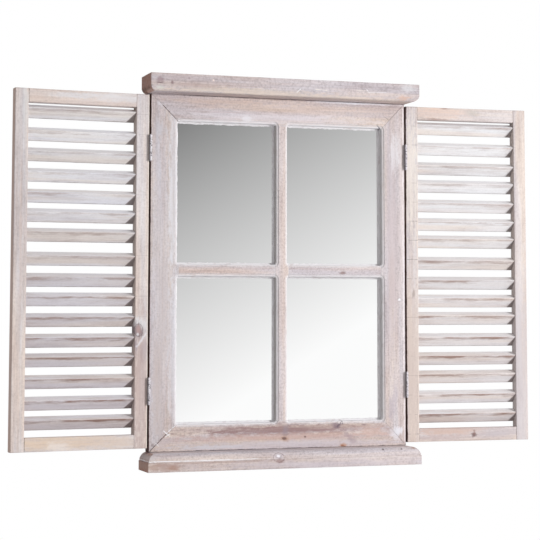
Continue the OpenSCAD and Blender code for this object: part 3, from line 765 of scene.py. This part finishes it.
give(
    whitewashed_pine(
        "washed_sill",
        False,
        (0.6, 0.08, 0.76),
        wash=(paint(222, 218, 225), paint(230, 221, 222), paint(234, 222, 216)),
        cover=0.76,
        seed=29.0,
        sides=end_grain,
        marks=(
            (-0.1000, -0.6480, 0.2000, 0.0022, paint(172, 146, 140), 0.65),
            # A painted highlight along the step where the rounding meets the front
            (-0.1400, -0.6445, 0.1500, 0.0018, chalk, 0.7),
            (0.1200, -0.6470, 0.1500, 0.0030, paint(232, 222, 220), 0.5),
            (0.0500, -0.6570, 0.2400, 0.0085, paint(198, 188, 196), 0.6),
            (-0.2430, -0.6550, 0.0300, 0.0095, paint(178, 152, 144), 0.8),
            (-0.2300, -0.6570, 0.0120, 0.0050, paint(168, 130, 112), 0.5),
            (-0.2700, -0.6530, 0.0160, 0.0060, paint(182, 156, 144), 0.6),
            (-0.2790, -0.6345, 0.0040, 0.0050, paint(110, 92, 88), 0.7),
            (-0.2760, -0.6370, 0.0120, 0.0075, paint(206, 198, 198), 0.8),
            # The knot near the middle, with wash in its heart
            (-0.0195, -0.6420, 0.0140, 0.0120, paint(220, 211, 216), 0.9),
            (-0.0190, -0.6485, 0.0105, 0.0052, paint(164, 138, 134), 0.85),
            (-0.0195, -0.6412, 0.0080, 0.0052, paint(152, 134, 138), 0.85),
            (-0.0200, -0.6402, 0.0046, 0.0034, paint(244, 240, 246), 1.0),
            # Knocks along the upper edge
            (0.1989, -0.6332, 0.0024, 0.0018, gap_dark, 0.8),
            (0.2380, -0.6331, 0.0022, 0.0018, gap_dark, 0.8),
            (0.2643, -0.6322, 0.0050, 0.0018, paint(150, 112, 92), 0.8),
        ),
        cracks=knot_ring(-0.0195, -0.6430, 0.0112, 0.0088, paint(136, 114, 114), 0.6)
        + (
            # The painted highlight along the step, on the left
            (-0.2780, -0.6440, -0.2300, -0.6440, 0.0014, chalk, 0.8),
            (-0.2300, -0.6436, -0.0600, -0.6430, 0.0011, chalk, 0.6),
        ),
    ),
    "sill",
)

# ---- shutters ------------------------------------------------------------------------------
# Two stiles and two rails of 20 mm pine, the rails tenoned into the stiles, round sixteen
# slats. The right-hand shutter got a thicker coat of wash than the left one.

axis_x, axis_y = 0.2665, -0.0296
swing = {"left": math.radians(4.5), "right": math.radians(-2.5)}
drop = {"left": 0.0, "right": 0.002}
coat = {
    "left": (paint(235, 231, 234), paint(240, 231, 228), paint(243, 228, 219)),
    "right": (paint(224, 219, 222), paint(230, 221, 219), paint(236, 223, 214)),
}
# Painted highlight for the arrises that face the lamp on the right
painted_highlight = paint(252, 242, 230)
# Painted shade for the gap between the frame and the right shutter
painted_gap_shade = paint(72, 44, 38)
stile_marks = {
    "left": (
        (-0.2810, -0.5000, 0.0220, 0.1500, paint(190, 168, 164), 0.8),
        # The large knot in the hinge stile
        (-0.2857, -0.3970, 0.0195, 0.0195, paint(196, 186, 190), 0.5),
        (-0.2855, -0.3900, 0.0160, 0.0175, paint(236, 234, 236), 1.0),
        (-0.2868, -0.3978, 0.0120, 0.0160, paint(146, 128, 130), 1.0),
        (-0.2868, -0.3955, 0.0060, 0.0085, paint(190, 162, 160), 0.8),
        (-0.2890, -0.4060, 0.0025, 0.0030, paint(236, 234, 236), 0.8),
        (-0.2905, -0.4260, 0.0040, 0.0190, paint(170, 158, 166), 0.6),
        (-0.2750, -0.4350, 0.0070, 0.0195, paint(184, 170, 174), 0.5),
        (-0.2800, -0.4500, 0.0030, 0.0200, paint(180, 160, 160), 0.6),
        (-0.5180, -0.3000, 0.0040, 0.2500, paint(222, 198, 184), 0.4),
        (-0.5120, 0.0200, 0.0060, 0.0500, paint(226, 226, 228), 0.5),
    ),
    "right": (
        (0.2800, -0.0900, 0.0160, 0.1400, paint(248, 238, 226), 0.6),
        (0.2780, -0.4700, 0.0240, 0.1900, paint(210, 194, 187), 0.8),
        (0.2830, -0.3270, 0.0030, 0.0080, paint(170, 156, 150), 0.7),
        (0.5200, -0.2500, 0.0080, 0.1500, paint(246, 240, 238), 0.4),
        (0.5200, -0.4800, 0.0260, 0.2200, paint(206, 198, 200), 0.8),
    ),
}
stile_streaks_and_painted_edges = {
    "left": (
        # Painted highlight along the hinge stile's edge by the gap
        (-0.2692, low_end, -0.2692, high_end, 0.0013, painted_highlight, 0.7),
        (-0.2715, -0.4035, -0.2905, -0.4300, 0.0032, paint(230, 227, 232), 0.7),
        *knot_ring(-0.2868, -0.3978, 0.0086, 0.0122, paint(128, 114, 118), 0.6),
    ),
    "right": (
        # Painted highlight along the hinge stile's edge beside the slats
        (0.2932, low_end, 0.2932, high_end, 0.0010, painted_highlight, 0.3),
        # Painted shade along the hinge stile's edge, widening the dark gap at the hinges
        (0.2680, low_end, 0.2672, -0.15, 0.0018, painted_gap_shade, 0.85),
        (0.2676, -0.15, 0.2684, 0.055, 0.0024, painted_gap_shade, 0.8),
    ),
}
rail_marks = {
    "left": (
        (-0.4900, 0.0430, 0.0190, 0.0090, paint(222, 202, 192), 0.4),
        (-0.4200, 0.0480, 0.0500, 0.0060, paint(228, 228, 234), 0.6),
        (-0.3300, 0.0480, 0.0800, 0.0110, paint(234, 232, 236), 0.75),
        (-0.3700, 0.0360, 0.1200, 0.0045, paint(226, 212, 208), 0.6),
        (-0.4400, -0.6060, 0.1300, 0.0160, paint(230, 206, 182), 0.7),
        (-0.3300, -0.6090, 0.0500, 0.0160, paint(222, 206, 196), 0.6),
        (-0.4400, -0.6130, 0.0220, 0.0100, paint(240, 230, 224), 0.8),
    ),
    "right": (
        (0.3400, 0.0440, 0.0700, 0.0130, paint(234, 206, 190), 0.65),
        (0.3300, 0.0315, 0.0300, 0.0020, paint(150, 112, 102), 0.7),
        (0.3550, 0.0535, 0.0120, 0.0015, paint(160, 126, 116), 0.6),
        (0.4150, 0.0470, 0.0140, 0.0070, paint(196, 190, 182), 0.5),
        (0.3600, -0.6030, 0.0900, 0.0110, paint(208, 178, 164), 0.7),
        (0.3400, -0.6170, 0.0700, 0.0060, paint(192, 174, 174), 0.7),
        (0.4650, -0.6120, 0.0450, 0.0150, paint(190, 180, 184), 0.7),
        (0.4118, -0.6115, 0.0060, 0.0055, paint(120, 98, 96), 0.9),
        (0.4130, -0.6060, 0.0025, 0.0060, paint(150, 120, 112), 0.7),
    ),
}
highest_nose, pitch = 0.0179, 0.039007
rail_ends = (0.0275, 0.2400)
for side, angle in swing.items():
    outward = -1 if side == "left" else 1
    joints = [outward * (axis_x + reach * math.cos(angle)) for reach in rail_ends]
    give(
        whitewashed_pine(
            f"washed_{side}_stile",
            True,
            (0.2, 0.06, 0.05),
            wash=coat[side],
            cover=0.84,
            seed=31.0 if side == "left" else 37.0,
            grainy=0.5,
            hairlines=(
                highest_nose - drop[side],
                pitch,
                0.27,
                0.2935,
                0.15 if side == "left" else 0.5,
            ),
            sides=(
                # Bare wood darkened to painted shade on the hinge edges in the gap, painted shade
                # on the stiles' inner walls by the slats, and bare wood on the outer edges
                (0.26, 0.28, paint(134, 84, 66), 0.9),
                (0.28, 0.51, paint(196, 182, 174), 0.85),
                (0.51, 0.55, paint(214, 184, 172), 0.8),
            ),
            marks=stile_marks[side],
            cracks=stile_streaks_and_painted_edges[side],
        ),
        f"{side}_outer_stile",
        f"{side}_hinge_stile",
    )
    give(
        whitewashed_pine(
            f"washed_{side}_rail",
            False,
            (0.5, 0.05, 0.13),
            wash=coat[side],
            cover=0.84,
            seed=43.0 if side == "left" else 47.0,
            grainy=0.5,
            marks=rail_marks[side],
            turn=-angle,
            cracks=[(x, low_end, x, high_end, 0.0006, gap_dark, 0.75) for x in joints],
        ),
        f"{side}_top_rail",
        f"{side}_bottom_rail",
    )

# ---- louvres -------------------------------------------------------------------------------
# Sixteen wedge-shaped slats a side, cut from different boards, each with a rounded nose to
# the front and its ends in housings. The wash is rubbed away under the noses.

slat_coat = {
    "left": (paint(245, 246, 253), paint(248, 247, 250), paint(248, 242, 238)),
    "right": (paint(249, 250, 253), paint(250, 248, 249), paint(250, 243, 238)),
}
# Per side: the slope of the painted shadow, the rub's strength and the grey in the lowest slat
slat_shadow_slopes_and_rubs = {"left": (0.85, 0.75, 0.75), "right": (0.6, 0.75, 0.45)}
half_slat = 0.1063
below_nose = 0.025
axis_to_face, axis_to_middle = 0.0036, 0.134
for side, angle in swing.items():
    x = -axis_x if side == "left" else axis_x
    face = -x * math.sin(angle) + axis_y * math.cos(angle) + axis_to_face
    middle = x * math.cos(angle) + axis_y * math.sin(angle)
    middle += math.copysign(axis_to_middle, x)
    give(
        whitewashed_pine(
            f"washed_{side}_slat",
            False,
            (0.1, 0.07, 0.02),
            wash=slat_coat[side],
            cover=1.0 if side == "left" else 0.97,
            seed=53.0 if side == "left" else 59.0,
            turn=-angle,
            stagger=(highest_nose - below_nose - drop[side], pitch),
            nose=(face, middle, half_slat) + slat_shadow_slopes_and_rubs[side],
            wear=0.6 if side == "left" else 0.2,
            grainy=0.2,
        ),
        *[f"{side}_slat_{i:02d}" for i in range(1, 17)],
    )

# ---- hinges --------------------------------------------------------------------------------
# Four 50 mm steel butt hinges with five interleaved knuckles and a headed pin, screwed to
# the edges of the stiles and brushed over with the same wash.

brushed_over, shader = new_finish("washed_hinge_steel")
texture = lay(brushed_over, "TexCoord", {})
place = texture.outputs["Object"]
chips = mottle(brushed_over, place, (330, 330, 330), 4, 0.65)
chips = fade(brushed_over, chips, 0.53, 0.58)
runs = mottle(brushed_over, place, (260, 260, 40), 3, 0.6, 3.0)
thin_to_thick = [(0.3, paint(206, 200, 208)), (0.7, paint(240, 236, 240))]
coating = shades(brushed_over, runs, thin_to_thick)
# Painted shade: the faces that turn to the left, away from the lamp, darkened to grey
leftward = times(brushed_over, split(brushed_over, texture.outputs["Normal"])[0], -1.0)
painted_shade = fade(brushed_over, leftward, 0.15, 0.6, 0.0, 0.8)
coating = blend(brushed_over, painted_shade, coating, paint(96, 88, 94))
coating = blend(brushed_over, chips, coating, paint(118, 110, 114))
eased = lay(brushed_over, "Bevel", {"Radius": 0.0004}, samples=4).outputs[0]
height = less(brushed_over, runs, chips)
bump = lay(
    brushed_over,
    "Bump",
    {"Strength": 0.4, "Distance": 0.0003, "Height": height, "Normal": eased},
)
links = brushed_over.node_tree.links
links.new(coating, shader.inputs["Base Color"])
links.new(times(brushed_over, chips, 0.8), shader.inputs["Metallic"])
links.new(fade(brushed_over, runs, 0.2, 0.8, 0.4, 0.6), shader.inputs["Roughness"])
links.new(bump.outputs[0], shader.inputs["Normal"])
give(
    brushed_over,
    "hinge_pins",
    "frame_hinge_screws",
    "left_hinge_frame_leaves",
    "right_hinge_frame_leaves",
    "left_hinge_shutter_leaves",
    "right_hinge_shutter_leaves",
    "left_hinge_screws",
    "right_hinge_screws",
)

# ---- camera, light, floor ------------------------------------------------------------------
# The camera stands to the left of the mirror and a little below its middle. One soft lamp
# to the right gives the shadows, and the pale room gives the rest. The glass sees a room
# that brightens downwards and to the right.

camera = bpy.data.cameras.new("camera")
camera.sensor_width = 36.0
camera.lens = 114.06
camera.shift_x = -0.0889
camera.shift_y = -0.2
viewer = bpy.data.objects.new("camera", camera)
viewer.location = (-1.0632, -3.2419, -0.3706)
viewer.rotation_euler = (math.radians(95.134), math.radians(0.063), math.radians(-19.537))
bpy.context.scene.collection.objects.link(viewer)
bpy.context.scene.camera = viewer

lamp = bpy.data.lights.new("key", "AREA")
lamp.shape = "SQUARE"
lamp.size = 0.32
lamp.energy = 92.0
key = bpy.data.objects.new("key", lamp)
key.location = (2.35, -2.85, 0.20)
mirror_middle = Vector((0, -0.03, -0.28))
key.rotation_euler = (mirror_middle - key.location).to_track_quat("-Z", "Y").to_euler()
key.visible_glossy = False
bpy.context.scene.collection.objects.link(key)

world = bpy.data.worlds.new("studio")
bpy.context.scene.world = world
world.use_nodes = True
background = world.node_tree.nodes["Background"]
background.inputs["Color"].default_value = (1, 1, 1, 1)
toward = lay(world, "TexCoord", {}).outputs["Generated"]
toward_x, toward_y, toward_z = split(world, toward)
ahead = reckon(world, "MAXIMUM", times(world, toward_y, -1.0), 0.25)
slope_x, slope_z, raised = 2.32, 4.01, 0.085
rise = less(world, times(world, toward_x, slope_x), times(world, toward_z, slope_z))
rise = plus(world, reckon(world, "DIVIDE", rise, ahead), raised)
card = lay(world, "MapRange", {0: rise, 1: 0.2, 2: 1.0, 3: 0.2, 4: 1.0}).outputs[0]
fill = plus(
    world,
    fade(world, toward_z, -0.3, 0.9, 0.14, 0.66),
    fade(world, toward_x, -0.2, -1.0, 0.0, 0.10),
)
path = lay(world, "LightPath", {})
level = plus(world, times(world, path.outputs["Is Glossy Ray"], less(world, card, fill)), fill)
white_backdrop = {0: path.outputs["Is Camera Ray"], 2: level, 3: 1.0}
level = lay(world, "Mix", white_backdrop).outputs[0]
world.node_tree.links.new(level, background.inputs["Strength"])

floor_mesh = bmesh.new()
floor_reach, floor_z = 3.0, -1.35
bmesh.ops.create_grid(floor_mesh, x_segments=1, y_segments=1, size=floor_reach)
bmesh.ops.translate(floor_mesh, verts=floor_mesh.verts, vec=(0, 0, floor_z))
mesh = bpy.data.meshes.new("floor")
floor_mesh.to_mesh(mesh)
floor_mesh.free()
floor = bpy.data.objects.new("floor", mesh)
bpy.context.scene.collection.objects.link(floor)
pale, shader = new_finish("pale_floor")
seen = lay(pale, "LightPath", {}).outputs["Is Camera Ray"]
pale_grey, paler_grey = (0.85, 0.85, 0.85, 1), (0.9, 0.9, 0.9, 1)
tint = blend(pale, seen, pale_grey, paler_grey)
pale.node_tree.links.new(tint, shader.inputs["Base Color"])
shader.inputs["Roughness"].default_value = 0.8
mesh.materials.append(pale)

bpy.context.scene.view_settings.view_transform = "Standard"
